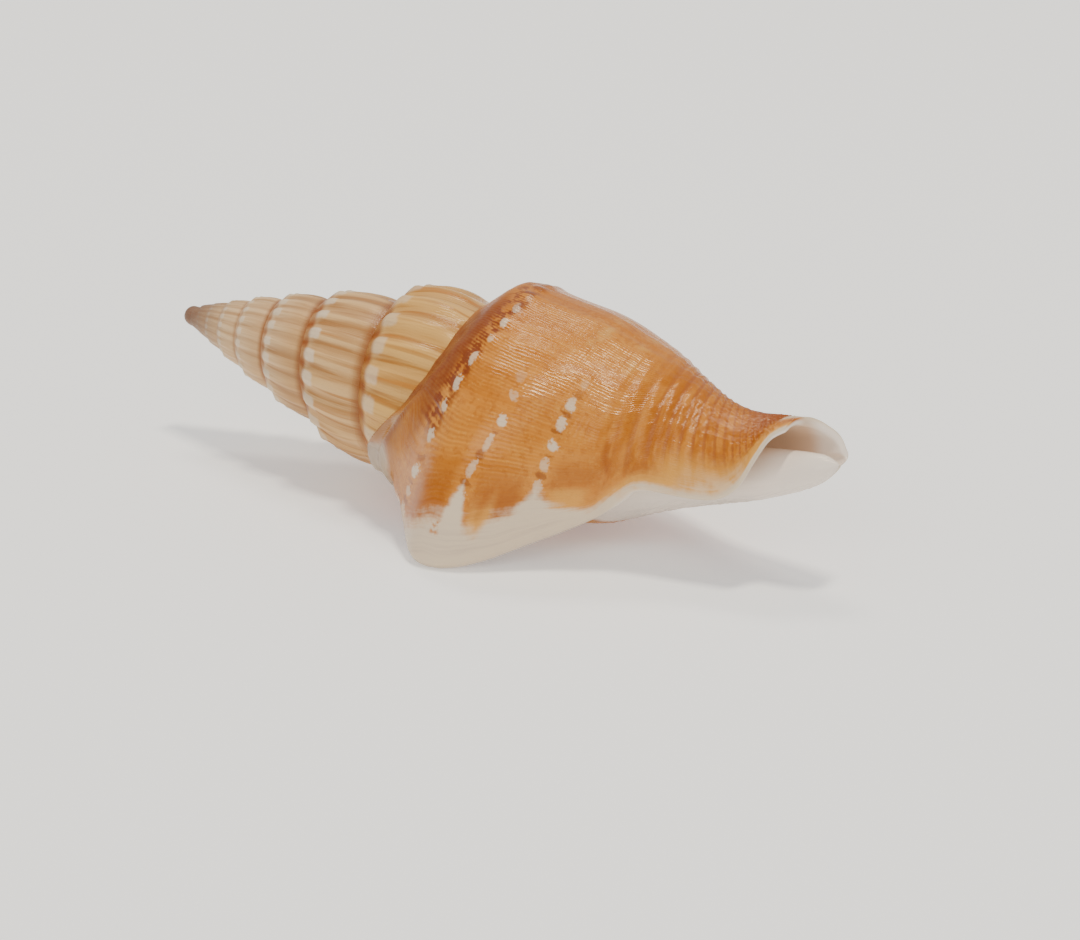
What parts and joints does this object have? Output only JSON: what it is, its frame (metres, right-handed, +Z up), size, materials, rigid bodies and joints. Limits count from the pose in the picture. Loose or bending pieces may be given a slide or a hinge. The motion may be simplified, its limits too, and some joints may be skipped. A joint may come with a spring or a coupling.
{
  "type": "conch shell",
  "caption": "Spired conch shell with a ribbed spire, a smooth last whorl with a flared outer lip, and an open front canal; it lies on its mouth side.",
  "frame": {"origin": "centre of the bounding box in plan, on the surface that the shell lies on", "axes": "+X along the shell from the tip of the spire towards the front canal, +Z up, the outer lip on the -Y side"},
  "size_m": [0.073, 0.0304, 0.0225],
  "materials": {
    "glossy_shell": "glossy"
  },
  "bodies": {
    "root": {"shell": "glossy_shell"}
  },
  "joints": []
}
